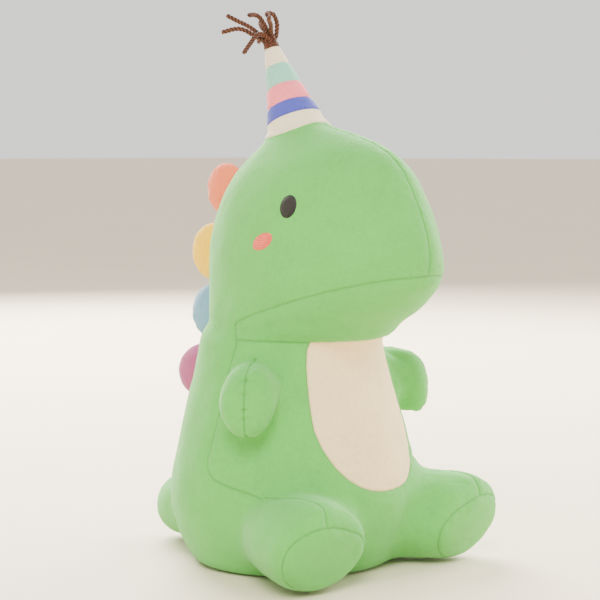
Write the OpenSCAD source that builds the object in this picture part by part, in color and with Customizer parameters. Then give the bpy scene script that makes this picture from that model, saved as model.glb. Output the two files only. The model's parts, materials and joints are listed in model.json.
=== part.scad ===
// Sitting plush dinosaur with a banded cone hat, back spikes, stub arms and legs and a short tail.
// Millimetres. +Z up, the animal faces -Y, and its right side is -X. It sits on Z = 0.

/* [Body] */
// Width of the body at its widest
body_w = 162; // [150:1:175]
// Depth of the body from back to belly at its widest
body_d = 160; // [150:1:172]
// Height of the neck seam above the base
neck_h = 150; // [148:1:156]
// Width of the cream tummy panel
tummy_w = 84; // [70:1:92]

/* [Head] */
// Width of the head across the cheeks
head_w = 116; // [108:1:124]
// Length of the head from nape to nose
head_l = 176; // [168:1:184]
// Height of the head from chin to hat seam
head_h = 131; // [124:1:136]

/* [Hat] */
// Length of the hat along its axis
hat_l = 56; // [50:1:62]
// Radius of the hat at its seam
hat_r = 20; // [17:1:22]
// Backward lean of the hat
hat_lean = 23; // [16:1:25]
// Thickness of a yarn strand
yarn_d = 2.8; // [2.2:0.1:3]

/* [Limbs] */
// How far an arm stands out of the body
arm_l = 31; // [26:1:36]
// Height of an arm
arm_h = 46; // [40:1:50]
// How far a leg stands out of the body
leg_l = 39; // [35:1:43]
// Height of a foot
foot_h = 59; // [54:1:63]
// How far the tail stands out of the body
tail_l = 45; // [38:1:52]

/* [Spikes] */
// How far a back spike stands out
spike_l = 36; // [30:1:38]
// Length of a back spike along the back
spike_w = 40; // [34:1:42]

/* [Fabric] */
// Thickness of the plush fabric
fabric = 1.6; // [1.2:0.1:2]
// Room left at each seam
seam = 0.5; // [0.3:0.1:0.8]
// Room between a cover and its stuffing
slack = 1.8; // [1.6:0.1:2.4]

/* [Hidden] */
SIDES = ["right", "left"];
SPIKES = ["salmon", "yellow", "blue", "purple"];

MINT = [0.60, 0.83, 0.62];
CREAM = [0.93, 0.88, 0.78];
STUFF = [0.96, 0.96, 0.94];
YARN = [0.40, 0.17, 0.05];

// Stations of each padded form, smallest first: centre [x, y, z], half width, half height, yaw, tilt.
// Yaw turns the station about Z and tilt leans it about its own width.
hw = body_w / 2;
hd = body_d / 2;
TORSO = [
  [[0, -2, 0], 0.74 * hw, 0.74 * hd, 0, 0],
  [[0, -2, 6], 0.85 * hw, 0.85 * hd, 0, 0],
  [[0, -2, 22], 0.97 * hw, 0.97 * hd, 0, 0],
  [[0, -3, 50], 1.02 * hw, 1.02 * hd, 0, 0],
  [[0, -2, 84], 0.93 * hw, 0.93 * hd, 0, 1],
  [[0, -1, neck_h - 37], 0.84 * hw, 0.84 * hd, 0, 3],
  [[0, 0, neck_h - 14], 0.77 * hw, 0.77 * hd, 0, 4],
  [[0, 0, neck_h - 4], 0.74 * hw, 0.75 * hd, 0, 4],
  [[0, 0, neck_h - 2.2], 0.66 * hw, 0.68 * hd, 0, 4],
  [[0, 0, neck_h - 0.7], 0.3 * hw, 0.3 * hd, 0, 4]
];
ha = head_w / 2;
hb = head_l / 2;
HEAD = [
  [[0, -4, neck_h + 0.7], 0.3 * ha, 0.22 * hb, 0, 4],
  [[0, -6, neck_h + 2.2], 0.78 * ha, 0.56 * hb, 0, 4],
  [[0, -9, neck_h + 4.4], 0.95 * ha, 0.7 * hb, 0, 4],
  [[0, -12, neck_h + 12], ha, 0.79 * hb, 0, 3],
  [[0, -22, neck_h + 24], ha, 0.92 * hb, 0, 2],
  [[0, -28, neck_h + 42], ha, hb, 0, 1],
  [[0, -28, neck_h + 62], 0.97 * ha, hb, 0, 0],
  [[0, -26.5, neck_h + 84], 0.9 * ha, 0.91 * hb, 0, -2],
  [[0, -25, neck_h + 0.79 * head_h], 0.78 * ha, 0.78 * hb, 0, -4],
  [[0, -22, neck_h + 0.88 * head_h], 0.63 * ha, 0.63 * hb, 0, -5],
  [[0, -16, neck_h + 0.95 * head_h], 0.46 * ha, 0.43 * hb, 0, -6],
  [[0, -9, neck_h + 0.985 * head_h], 0.3 * ha, 0.26 * hb, 0, -10],
  [[0, -6, neck_h + head_h], 0.1 * ha, 0.07 * hb, 0, -10]
];

// Limb profile: share of the length, share of the half size, from the domed root to the round tip.
LIMB = [[0, 0.12], [0.04, 0.42], [0.1, 0.72], [0.2, 0.93], [0.4, 1], [0.62, 0.97],
        [0.81, 0.82], [0.93, 0.55], [1, 0.05]];
// A limb's root sits on the body at a bearing from -Y; its own axis then turns to the tip's bearing.
function on_body(bearing, z, gap) =
  let (s = spline(TORSO, v_at(TORSO, z, 0, 7)),
       r = 1 / norm([sin(bearing) / s[1], cos(bearing) / s[2]]) + gap)
  [r * sin(bearing), s[0][1] - r * cos(bearing), z];
// Station of a form at a height, by halving the stretch from a to b
function v_at(form, z, a, b, n = 14) =
  let (m = (a + b) / 2)
  n == 0 ? m : spline(form, m)[0][2] < z ? v_at(form, z, m, b, n - 1) : v_at(form, z, a, m, n - 1);
function limb(root, turn0, turn1, length, drop, half_w, half_h, taper, lean = 0) = [
  for (p = LIMB)
    let (t = p[0], yaw = turn0 + (turn1 - turn0) * t)
    [root + length * t * [sin((turn0 + yaw) / 2), -cos((turn0 + yaw) / 2), -drop * t],
     half_w * p[1] * (1 - taper * t), half_h * p[1] * (1 - taper * t * 0.5), yaw, lean * (1 - t)]
];
arm_root = on_body(-67, 116, 0.7);
ARM = limb(arm_root, -67, -45, arm_l, 0.2, 20, arm_h / 2, 0.05, 13);
leg_root = on_body(-43, foot_h / 2 + 0.8, 0.8);
LEG = limb(leg_root, -43, -6, leg_l, 0, 38.5, foot_h / 2, 0.16);
tail_root = on_body(180, 26.5, 0.8);
TAIL = limb(tail_root, 180, 180, tail_l, 0.12, 35.5, 25, 0.5);

// Stations of the neck seam on the body and on the head, and of the base hem
neck_v = 7;
hem_v = 0.15;
rim_v = 2.2;

function lerp(a, b, t) = a + (b - a) * t;
function flat(s) = concat(s[0], [s[1], s[2], s[3], s[4]]);
function station(f) = [[f[0], f[1], f[2]], f[3], f[4], f[5], f[6]];
// Catmull-Rom spline through a list of stations; t counts stations
function spline(list, t) =
  let (last = len(list) - 1, i = max(0, min(last - 1, floor(t))), f = t - i,
       p0 = flat(list[max(0, i - 1)]), p1 = flat(list[i]),
       p2 = flat(list[i + 1]), p3 = flat(list[min(last, i + 2)]))
  station(0.5 * (2 * p1 + (p2 - p0) * f + (2 * p0 - 5 * p1 + 4 * p2 - p3) * f * f
                 + (3 * p1 - p0 - 3 * p2 + p3) * f * f * f));

// Point of a form at bearing u (0 is straight ahead) and station v
function at(form, u, v) =
  let (s = spline(form, v), x = s[1] * sin(u), y = -s[2] * cos(u))
  is_upright(form)
  ? s[0] + [x, y * cos(s[4]), y * sin(s[4])]
  : s[0] + [y * sin(s[3]) * sin(s[4]) - x * cos(s[3]),
            -x * sin(s[3]) - y * cos(s[3]) * sin(s[4]), -y * cos(s[4])];
// The torso and head are stacked upward; a limb's rings stand upright, so its u = 0 is on top
function is_upright(form) = form[len(form) - 1][0][2] - form[0][0][2] > 90;
function unit(v) = v / max(norm(v), 1e-6);
function normal(form, u, v) =
  let (e = 0.02, a = at(form, u + 2, v) - at(form, u - 2, v),
       last = len(form) - 1,
       b = at(form, u, min(v + e, last)) - at(form, u, max(v - e, 0)))
  unit(cross(a, b));
// Point moved out (or in, when negative) along the surface normal
function off(form, u, v, d) = at(form, u, v) + d * normal(form, u, v);

// Closed solid from a grid of points: rows run round the form, with a point at each end
module skin_solid(rows, first, last) {
  n = len(rows[0]);
  m = len(rows);
  points = concat([for (row = rows) for (p = row) p], [first, last]);
  sides = [for (i = [0:m - 2]) for (j = [0:n - 1]) let (k = (j + 1) % n)
    each [[i * n + j, (i + 1) * n + j, i * n + k], [(i + 1) * n + j, (i + 1) * n + k, i * n + k]]];
  ends = [for (j = [0:n - 1]) let (k = (j + 1) % n)
    each [[m * n, j, k], [m * n + 1, (m - 1) * n + k, (m - 1) * n + j]]];
  polyhedron(points, concat(sides, ends), convexity = 4);
}

// Stuffing: the whole form, one fabric thickness and the slack inside its cover
module stuffing(form, rings, sides, v0 = 0, flat_base = false) {
  inset = -fabric - slack;
  last = len(form) - 1;
  rows = [for (i = [0:rings]) let (v = lerp(v0, last, i / rings))
    [for (j = [0:sides - 1]) let (p = off(form, 360 * j / sides, v, inset))
      flat_base && i == 0 ? [p[0], p[1], fabric + slack] : p]];
  first = spline(form, v0)[0];
  skin_solid(rows, flat_base ? [first[0], first[1], fabric + slack] : mean(rows[0]), mean(rows[rings]));
}
function mean(list) = [for (c = [0:2]) sum([for (p = list) p[c]]) / len(list)];
function sum(list, i = 0) = i == len(list) ? 0 : list[i] + sum(list, i + 1);

// Fabric panel: a grid of [bearing, station] places given thickness; closed panels join up on themselves
module panel(form, grid, closed = false) {
  m = len(grid);
  n = len(grid[0]);
  outer = [for (row = grid) for (g = row) off(form, g[0], g[1], 0)];
  inner = [for (row = grid) for (g = row) off(form, g[0], g[1], -fabric)];
  k = m * n;
  last = closed ? n - 1 : n - 2;
  faces = [for (i = [0:m - 2]) for (j = [0:last])
    let (a = i * n + j, b = i * n + (j + 1) % n, c = a + n, d = b + n)
    each [[a, c, b], [c, d, b], [k + a, k + b, k + c], [k + c, k + b, k + d]]];
  rims = [for (j = [0:last]) let (a = j, b = (j + 1) % n, c = (m - 1) * n + j, d = (m - 1) * n + (j + 1) % n)
    each [[a, b, k + a], [b, k + b, k + a], [c, k + c, d], [d, k + c, k + d]]];
  edges = closed ? [] : [for (i = [0:m - 2]) let (a = i * n, b = (i + 1) * n, c = a + n - 1, d = b + n - 1)
    each [[a, k + a, b], [b, k + a, k + b], [c, d, k + c], [d, k + d, k + c]]];
  polyhedron(concat(outer, inner), concat(faces, rims, edges), convexity = 6);
}
// Grid between two bearings that may follow the station, over stations v0 to v1
function strip(u0, u1, v0, v1, m, n) = [for (i = [0:m]) let (v = lerp(v0, v1, i / m))
  [for (j = [0:n]) [lerp(u0, u1, j / n), v]]];

module both(side) {
  if (side == "right") children();
  else mirror([1, 0, 0]) children();
}

// ---- Body ----
gap_u = 0.5;
module torso_stuffing() {
  color(STUFF) stuffing(TORSO, 18, 20, 0, true);
}
// Side seam: from the neck down to the hip, then forward over the leg
function side_bearing(v) = v > 3 ? lerp(-90, -76, pow((v - 3) / (neck_v - 3), 0.8)) : lerp(-58, -90, v / 3);
module torso_side_panel(side) {
  grid = [for (i = [0:12]) let (v = lerp(hem_v, neck_v, i / 12))
    [for (j = [0:7]) [lerp(-180 + gap_u, side_bearing(v) - gap_u, j / 7), v]]];
  color(MINT) both(side) panel(TORSO, grid);
}
// The tummy panel is a U: straight sides up to the chin and a round foot
tummy_u = asin(tummy_w / body_w / 0.84);
tummy_mid_v = 5;
tummy_low_v = 3.2;
function tummy_half(v) =
  v > tummy_mid_v ? tummy_u * (1 - 0.03 * (v - tummy_mid_v))
  : tummy_u * sqrt(max(0.002, 1 - pow((tummy_mid_v - v) / (tummy_mid_v - tummy_low_v), 2)));
module tummy_panel() {
  grid = [for (i = [0:12]) let (t = i / 12, v = lerp(tummy_low_v, neck_v, 1 - pow(1 - t, 0.5) * (1 - t)))
    [for (j = [0:8]) [tummy_half(v) * (j / 4 - 1), v]]];
  color(CREAM) panel(TORSO, grid);
}
// The green front panel runs round the U: t from 0 at one end of the neck seam to 1 at the other
function u_edge(t) =
  let (a = lerp(-150, 150, t))
  abs(a) > 90
  ? let (v = lerp(tummy_mid_v, neck_v, (abs(a) - 90) / 60)) [sign(a) * (tummy_half(v) + 0.8), v]
  : [(tummy_u + 0.8) * sin(a), tummy_mid_v - (tummy_mid_v - tummy_low_v + 0.06) * cos(a)];
function frame_edge(t) =
  let (a = lerp(-150, 150, t), v = lerp(hem_v, neck_v, max(0, (abs(a) - 45) / 105)))
  abs(a) > 45 ? [-sign(a) * (side_bearing(v) + gap_u), v] : [-a / 45 * (side_bearing(hem_v) + gap_u), hem_v];
module front_panel() {
  grid = [for (i = [0:5]) [for (j = [0:30])
    let (p = u_edge(j / 30), q = frame_edge(j / 30)) [lerp(q[0], p[0], i / 5), lerp(q[1], p[1], i / 5)]]];
  color(MINT) panel(TORSO, grid);
}
module base_panel() {
  s = TORSO[0];
  color(MINT) translate(s[0]) linear_extrude(fabric)
    polygon([for (j = [0:35]) [(s[1] - fabric - seam) * sin(10 * j), (s[2] - fabric - seam) * cos(10 * j)]]);
}

// ---- Head ----
crown_v = 11;
chin_v = 1.6;
// Height of the jaw seam above the neck: level round the muzzle, then down to the neck at jaw_end
jaw_top = 41;
jaw_end = 97;
jaw_gap = 0.13;
function jaw(u) = v_at(HEAD, neck_h + jaw_top * (1 - 0.83 * pow(abs(u) / jaw_end, 2.3)), 2, 7);
module head_stuffing() {
  color(STUFF) stuffing(HEAD, 13, 20);
}
// Each side panel runs from the back seam round to the centre seam on the crown and muzzle
module head_side_panel(side) {
  grid = [for (i = [0:10]) [for (j = [0:11])
    let (u = lerp(-180 + gap_u, -gap_u, j / 11), low = u < -jaw_end ? rim_v : jaw(u) + jaw_gap)
    [u, lerp(low, crown_v, i / 10)]]];
  color(MINT) both(side) panel(HEAD, grid);
}
module chin_panel() {
  grid = [for (i = [0:5]) [for (j = [0:14]) let (u = lerp(1 - jaw_end, jaw_end - 1, j / 14))
    [u, lerp(chin_v, jaw(u) - jaw_gap, i / 5)]]];
  color(MINT) panel(HEAD, grid);
}
// Embroidered patch: an oval pad that lies on the head at bearing u, station v
module patch(u, v, w, h, turn) {
  n = normal(HEAD, u, v);
  translate(off(HEAD, u, v, 0.3)) rotate([acos(n[2]), 0, atan2(n[1], n[0]) + 90]) rotate(turn)
    scale([w / h, 1, 1]) cylinder(d1 = h, d2 = h - 1.6, h = 0.8, $fn = 36);
}
module eye(side) {
  color([0.2, 0.15, 0.13]) both(side) patch(-76.7, 6.95, 12.5, 15.5, 0);
}
module cheek(side) {
  color([0.95, 0.6, 0.55]) both(side) patch(-90, 5.98, 13, 9.5, 25);
}

// ---- Hat ----
hat_seat = [0, -5, neck_h + head_h + 1.4];
// The rim stands a little off the crown, so that the hat can tip on its seam
hat_rise = 2;
BANDS = [hat_rise / hat_l, 0.12, 0.32, 0.55, 0.79, 1];
// Radius of the slightly hollow cone at a share of its length
function hat_radius(t) = lerp(hat_r, 4.9, pow(t, 0.82));
module hat_frame() {
  translate(hat_seat) rotate([-hat_lean, 0, 0]) children();
}
module hat_stuffing() {
  inset = fabric + seam;
  color(STUFF) hat_frame()
    rotate_extrude($fn = 48) polygon(concat([[0, 0.6], [hat_r / 2, 0.9]],
      [for (i = [0:8]) let (z = lerp(hat_rise, hat_l - seam, i / 8)) [hat_radius(z / hat_l) - inset, z]],
      [[0, hat_l - seam]]));
}
module hat_band(k) {
  shades = [CREAM, [0.55, 0.55, 0.8], [0.96, 0.7, 0.71], [0.75, 0.88, 0.82], CREAM];
  t0 = BANDS[k];
  t1 = BANDS[k + 1] - 0.3 / hat_l;
  color(shades[k]) hat_frame() rotate_extrude($fn = 48) polygon(concat(
    [for (i = [0:4]) let (t = lerp(t0, t1, i / 4)) [hat_radius(t), t * hat_l]],
    [for (i = [4:-1:0]) let (t = lerp(t0, t1, i / 4)) [hat_radius(t) - fabric, t * hat_l]]));
}

// ---- Yarn tuft ----
binding_h = 3;
module tuft_binding() {
  color(YARN) hat_frame() translate([0, 0, hat_l]) cylinder(r = 4.9, h = binding_h, $fn = 48);
}
// Routes in the hat's own frame, from the top of the binding: x to the left hand, y back, z along the hat
ring_r = 3.35;
ROUTES = [
  [[-3, 6, 10], [-5, 11, 16], [-8, 17, 20], [-13, 23, 24]],
  [[-9, 3, 7], [-15, 5, 12], [-20, 8, 14], [-27, 14, 14]],
  [[-7, -2, 6], [-13, -2, 5], [-19, 0, 0], [-25, 3, -6]],
  [[-3, -3, 9], [-9, -6, 15], [-14, -7, 17], [-22, -8, 16]],
  [[3, 2, 9], [4, 6, 15], [7, 9, 20], [12, 11, 24]],
  [[2, 5, 7], [5, 9, 11], [9, 14, 12], [13, 21, 12]],
  [[-2, -5, 6], [-6, -10, 9], [-12, -15, 10], [-17, -20, 9]],
  [[4, -4, 6], [4, -7, 12], [1, -9, 17], [-4, -9, 18], [-8, -11, 15]]
];
// Bearings of the strands round the binding; the one marked -1 stands in the middle
STARTS = [123, 174, 226, -1, 20, 71, 277, 329];
function strand_start(k) = STARTS[k] < 0 ? [0, 0, 0] : ring_r * [cos(STARTS[k]), sin(STARTS[k]), 0];
function strand_route(k) = let (s = strand_start(k)) concat([s, s + [0, 0, 2.5]], ROUTES[k]);
function bend(p, t) =
  let (last = len(p) - 1, i = max(0, min(last - 1, floor(t))), f = t - i,
       a = p[max(0, i - 1)], b = p[i], c = p[i + 1], d = p[min(last, i + 2)])
  0.5 * (2 * b + (c - a) * f + (2 * a - 5 * b + 4 * c - d) * f * f + (3 * b - a - 3 * c + d) * f * f * f);
module yarn_strand(k) {
  route = strand_route(k);
  rings = 9;
  path = [for (i = [0:rings]) bend(route, i * (len(route) - 1) / rings)];
  aim = [for (i = [0:rings]) i == 0 ? [0, 0, 1] : unit(path[min(rings, i + 1)] - path[i - 1])];
  rows = [for (i = [0:rings])
    let (a = aim[i], side = unit(cross(a, [0.3, 1, 0.1])), up = cross(a, side))
    [for (j = [0:7]) path[i] + yarn_d / 2 * (side * cos(45 * j) + up * sin(45 * j))]];
  color(YARN) hat_frame() translate([0, 0, hat_l + binding_h])
    skin_solid(rows, path[0], path[rings] + aim[rings] * 0.6);
}

// ---- Limbs ----
module limb_stuffing(form, side) {
  color(STUFF) both(side) stuffing(form, 8, 14);
}
// Cover half between two bearings, from the seam on the body to the given station
module limb_cover(form, side, u0, u1, v1) {
  color(MINT) both(side) panel(form, strip(u0 + 1, u1 - 1, rim_v, v1, 6, 7));
}
tip_v = 8;
sole_v = 6;
sole_middle_v = 7.8;
// The sole closes the foot: rows from its middle out to the seam, then back along the inside
module sole(side) {
  sides = 18;
  function row(v, d) = [for (j = [sides - 1:-1:0]) off(LEG, 360 * j / sides, v, d)];
  stops = [for (i = [0:3]) lerp(sole_middle_v, sole_v + 0.08, i / 3)];
  rows = concat([for (v = stops) row(v, 0)], [for (i = [3:-1:0]) row(stops[i], -fabric)]);
  color(MINT) both(side) skin_solid(rows, at(LEG, 0, tip_v), mean(row(sole_middle_v, -fabric)));
}

// ---- Back spikes ----
// Height of each spike's middle, its share of the full length and width, its pitch, and how far it
// stands off the back seam; the third bridges the dip at the neck
SPIKE_Z = [236, 198, 160, 121];
SPIKE_OUT = [0.74, 0.84, 0.8, 1.08];
SPIKE_GAP = [0.7, 0.7, 8.5, 2.2];
SPIKE_SHARE = [0.86, 0.97, 0.94, 0.9];
SPIKE_PITCH = [38, 8, -4, -10];
SPIKE_COLORS = [[0.93, 0.65, 0.54], [0.95, 0.84, 0.33], [0.65, 0.76, 0.84], [0.8, 0.58, 0.72]];
spike_t = 17;
// Point of a form's back seam at a height, by halving
function back_of(form, z, a, b, n = 14) =
  let (m = (a + b) / 2, p = at(form, 180, m))
  n == 0 ? p : p[2] < z ? back_of(form, z, m, b, n - 1) : back_of(form, z, a, m, n - 1);
function spike_seat(k) = back_of(k < 3 ? HEAD : TORSO, SPIKE_Z[k], 2, k < 3 ? 12 : 8);
module spike_frame(k) {
  translate(spike_seat(k)) rotate([SPIKE_PITCH[k], 0, 0]) children();
}
// One half of the lobe, dome outward on the given side, between two scales
module lobe(k, side, outer, inner) {
  steps = 16;
  rings = 4;
  function shell(g) = [for (i = [0:rings]) let (r = lerp(0.06, 1, i / rings)) [for (j = [0:steps - 1])
    let (a = 360 * j / steps) leaf_point(k, r, a, side, g)]];
  out = shell(outer);
  inn = shell(inner);
  m = rings + 1;
  n = steps;
  half = m * n;
  points = concat([for (row = out) for (p = row) p], [for (row = inn) for (p = row) p],
    [mean(out[0]), mean(inn[0])]);
  walls = [for (i = [0:m - 2]) for (j = [0:n - 1])
    let (a = i * n + j, b = i * n + (j + 1) % n, c = half + a, d = half + b)
    each [[a, a + n, b], [a + n, b + n, b], [c, d, c + n], [c + n, d, d + n]]];
  middles = [for (j = [0:n - 1]) let (b = (j + 1) % n)
    each [[2 * half, j, b], [2 * half + 1, half + b, half + j]]];
  rim = [for (j = [0:n - 1]) let (a = (m - 1) * n + j, b = (m - 1) * n + (j + 1) % n)
    each [[a, half + a, b], [b, half + a, half + b]]];
  faces = concat(walls, middles, rim);
  polyhedron(points, side < 0 ? faces : [for (f = faces) [f[2], f[1], f[0]]], convexity = 4);
}
// Lobe surface: an egg seen from the side, a from 0 to 360 round it, r from its middle to its seam
function leaf_point(k, r, a, side, g) =
  let (s = SPIKE_SHARE[k], l = spike_l * SPIKE_OUT[k], w = spike_w / 2 * s,
       y = l / 2 * cos(a), z = w * sin(a) * (1 - 0.1 * cos(a)))
  [side * (0.3 + (spike_t / 2 * s - 0.3) * sqrt(max(0, 1 - r * r)) * g[1]),
   SPIKE_GAP[k] + l / 2 + y * r * g[0], z * r * g[0]];
module spike_cover(k, side) {
  color(SPIKE_COLORS[k]) spike_frame(k) lobe(k, side, [1, 1], [0.86, 0.72]);
}
module spike_stuffing(k) {
  s = SPIKE_SHARE[k];
  l = spike_l * SPIKE_OUT[k];
  color(STUFF) spike_frame(k) translate([0, SPIKE_GAP[k] + l / 2, 0])
    scale([0.6 * spike_t / 2 * s, 0.76 * l / 2, 0.72 * spike_w / 2 * s]) sphere(1, $fn = 24);
}

torso_stuffing();
torso_side_panel("right");  // torso_side_panel_right
torso_side_panel("left");  // torso_side_panel_left
front_panel();
tummy_panel();
base_panel();
head_stuffing();
head_side_panel("right");  // head_side_panel_right
head_side_panel("left");  // head_side_panel_left
chin_panel();
eye("right");  // eye_right
eye("left");  // eye_left
cheek("right");  // cheek_right
cheek("left");  // cheek_left
hat_stuffing();
hat_band(0);  // hat_base_strip
hat_band(1);  // hat_band_periwinkle
hat_band(2);  // hat_band_pink
hat_band(3);  // hat_band_mint
hat_band(4);  // hat_tip
tuft_binding();
for (k = [0:7])
  yarn_strand(k);
for (side = SIDES) {
  limb_stuffing(ARM, side);
  limb_cover(ARM, side, -180, 0, tip_v);
  limb_cover(ARM, side, 0, 180, tip_v);
  limb_stuffing(LEG, side);
  limb_cover(LEG, side, 0, 180, sole_v);
  limb_cover(LEG, side, -180, 0, sole_v);
  sole(side);
}
limb_stuffing(TAIL, "right");  // tail_stuffing
limb_cover(TAIL, "left", 0, 180, tip_v);  // tail_cover_right
limb_cover(TAIL, "right", 0, 180, tip_v);  // tail_cover_left
for (k = [0:3]) {
  spike_stuffing(k);
  spike_cover(k, -1);
  spike_cover(k, 1);
}
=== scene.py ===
import json
import math

import bpy
import numpy as np
import openvdb as vdb
from mathutils import Matrix, Vector, kdtree, noise
from mathutils.bvhtree import BVHTree

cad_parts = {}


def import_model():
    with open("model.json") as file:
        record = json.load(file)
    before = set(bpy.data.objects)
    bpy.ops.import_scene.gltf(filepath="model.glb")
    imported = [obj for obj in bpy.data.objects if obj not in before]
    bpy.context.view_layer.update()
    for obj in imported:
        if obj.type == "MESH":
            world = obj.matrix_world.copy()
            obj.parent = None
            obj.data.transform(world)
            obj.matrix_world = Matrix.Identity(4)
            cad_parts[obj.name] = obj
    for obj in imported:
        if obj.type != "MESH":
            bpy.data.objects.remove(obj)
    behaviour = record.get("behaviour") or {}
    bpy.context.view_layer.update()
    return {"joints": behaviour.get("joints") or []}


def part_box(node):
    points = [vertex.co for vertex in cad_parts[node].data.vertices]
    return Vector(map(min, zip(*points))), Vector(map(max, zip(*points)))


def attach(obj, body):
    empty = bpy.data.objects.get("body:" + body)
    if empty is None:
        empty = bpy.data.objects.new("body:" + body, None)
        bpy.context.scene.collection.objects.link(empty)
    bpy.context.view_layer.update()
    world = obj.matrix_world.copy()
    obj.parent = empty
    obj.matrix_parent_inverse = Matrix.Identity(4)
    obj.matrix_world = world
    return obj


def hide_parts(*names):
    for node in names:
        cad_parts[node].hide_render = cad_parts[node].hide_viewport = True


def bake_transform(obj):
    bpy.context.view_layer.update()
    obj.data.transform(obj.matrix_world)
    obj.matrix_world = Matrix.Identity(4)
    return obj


MM = 0.001

# ---- Shape data, in millimetres ----
# The stations are the CAD source's, apart from those at the neck, which overlap so that the skins join
HW, HD, NECK = 81.0, 80.0, 150.0
HA, HB, HEAD_H = 58.0, 88.0, 131.0
# Stations: centre x, y, z, half width, half depth, yaw, tilt
TORSO = [
    (0, -2, 0, 0.74 * HW, 0.74 * HD, 0, 0),
    (0, -2, 6, 0.85 * HW, 0.85 * HD, 0, 0),
    (0, -2, 22, 0.97 * HW, 0.97 * HD, 0, 0),
    (0, -3, 50, 1.02 * HW, 1.02 * HD, 0, 0),
    (0, -2, 84, 0.93 * HW, 0.93 * HD, 0, 1),
    (0, -1, NECK - 37, 0.84 * HW, 0.84 * HD, 0, 3),
    (0, 0, NECK - 14, 0.77 * HW, 0.77 * HD, 0, 4),
    (0, 0, NECK - 4, 0.74 * HW, 0.75 * HD, 0, 4),
    (0, -1, NECK + 2, 0.68 * HW, 0.7 * HD, 0, 4),
    (0, -2, NECK + 8, 0.5 * HW, 0.5 * HD, 0, 4),
]
HEAD = [
    (0, -5, NECK - 3, 0.5 * HA, 0.4 * HB, 0, 4),
    (0, -7, NECK + 1, 0.86 * HA, 0.62 * HB, 0, 4),
    (0, -9, NECK + 4.4, 0.95 * HA, 0.7 * HB, 0, 4),
    (0, -12, NECK + 12, HA, 0.79 * HB, 0, 3),
    (0, -22, NECK + 24, HA, 0.92 * HB, 0, 2),
    (0, -28, NECK + 42, HA, HB, 0, 1),
    (0, -28, NECK + 62, 0.97 * HA, HB, 0, 0),
    (0, -26.5, NECK + 84, 0.9 * HA, 0.91 * HB, 0, -2),
    (0, -25, NECK + 0.79 * HEAD_H, 0.78 * HA, 0.78 * HB, 0, -4),
    (0, -22, NECK + 0.88 * HEAD_H, 0.63 * HA, 0.63 * HB, 0, -5),
    (0, -16, NECK + 0.95 * HEAD_H, 0.46 * HA, 0.43 * HB, 0, -6),
    (0, -9, NECK + 0.985 * HEAD_H, 0.3 * HA, 0.26 * HB, 0, -10),
    (0, -6, NECK + HEAD_H, 0.1 * HA, 0.07 * HB, 0, -10),
]
SIDES = (("right", 1), ("left", -1))
# Limb profile: share of length, share of half size; it starts inside the body so the skins join
LIMB = [
    (-0.5, 0.7), (-0.25, 0.93), (0, 0.98), (0.2, 0.99), (0.4, 1),
    (0.62, 0.97), (0.81, 0.82), (0.93, 0.55), (1, 0.05),
]
# A foot keeps its fullness to the toe, where the sole cuts it off
FOOT = [
    (-0.5, 0.7), (-0.25, 0.93), (0, 0.98), (0.2, 0.99), (0.4, 1),
    (0.65, 1), (0.86, 0.97), (1, 0.85), (1.12, 0.3),
]
# Hat: seat of its axis, length, radius at the seam and at the tip, lean in degrees
HAT_SEAT, HAT_L, HAT_R, HAT_TIP_R, HAT_LEAN = (0, -5, 282.4), 56.0, 20.0, 4.9, 23.0
# Shares of the hat's length between which its five bands run
BANDS = [-0.07, 0.1, 0.285, 0.515, 0.775, 1]
# Base strip: radius of its foot, how far it stands off the skin, how far its foot is tucked in, and the
# height along the axis above which it would tip with the hat
STRIP_R, STRIP_GAP, STRIP_TUCK, STRIP_BEND_Z = 21.5, 0.9, 0.4, 3.4
# Yarn: nominal thickness, pitch of its twist, height of the binding, radius of the ring of strands
YARN_D, YARN_PITCH, BINDING_H, RING_R = 3.1, 7.5, 3.0, 3.35
# Bearings of the strands round the binding; the one marked -1 stands in the middle
STARTS = [123, 174, 226, -1, 20, 71, 277, 329]
ROUTES = [
    [(-3, 5, 10), (-5, 9, 17), (-8, 14, 23), (-13, 18, 29)],
    [(-9, 3, 7), (-15, 5, 12), (-20, 8, 14), (-27, 14, 14)],
    [(-7, -2, 6), (-13, -2, 5), (-19, 0, 0), (-25, 3, -6)],
    [(-3, -3, 9), (-9, -6, 15), (-14, -7, 17), (-22, -8, 16)],
    [(3, 2, 9), (4, 6, 15), (7, 9, 20), (12, 11, 24)],
    [(2, 5, 7), (5, 9, 11), (9, 14, 12), (13, 21, 12)],
    [(-2, -5, 6), (-6, -10, 9), (-12, -15, 10), (-17, -20, 9)],
    [(4, -4, 6), (4, -7, 12), (1, -9, 17), (-4, -9, 18), (-8, -11, 15)],
]
SPIKES = {
    # name: pitch in degrees, share of length, share of width, root gap in CAD, start of the root here
    "salmon": (38, 0.74, 0.88, 0.7, -6.0),
    "yellow": (8, 0.84, 0.97, 0.7, -6.0),
    "blue": (-4, 0.80, 0.95, 8.5, 1.0),
    "purple": (-10, 1.08, 0.93, 2.2, -6.0),
}
SPIKE_L, SPIKE_W, SPIKE_T, SPIKE_BEND = 36.0, 40.0, 17.0, 12.0
# Embroidery: width, height, turn in degrees
STITCHED = {"eye": (13.0, 16.0, 6), "cheek": (18.5, 10.5, -24)}
# Level sets: voxel size, band either side of the surface in voxels, corners of the grid
VOXEL, BAND = 2.0, 9.0
LOW, HIGH = np.array([-106.0, -126.0, -8.0]), np.array([106.0, 130.0, 292.0])
SHAPE = tuple(((HIGH - LOW) / VOXEL).astype(int) + 1)
ORIGIN = tuple((LOW / VOXEL).astype(int))
# How softly forms run into each other
NECK_SOFT, ARM_SOFT, LIMB_SOFT, SOLE_SOFT = 7.0, 7.0, 11.0, 6.0
# Height at which the base is cut flat, and the lowest height that a point of the skin may have
BASE_Z, FLOOR_Z = 0.4, 0.25
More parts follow.
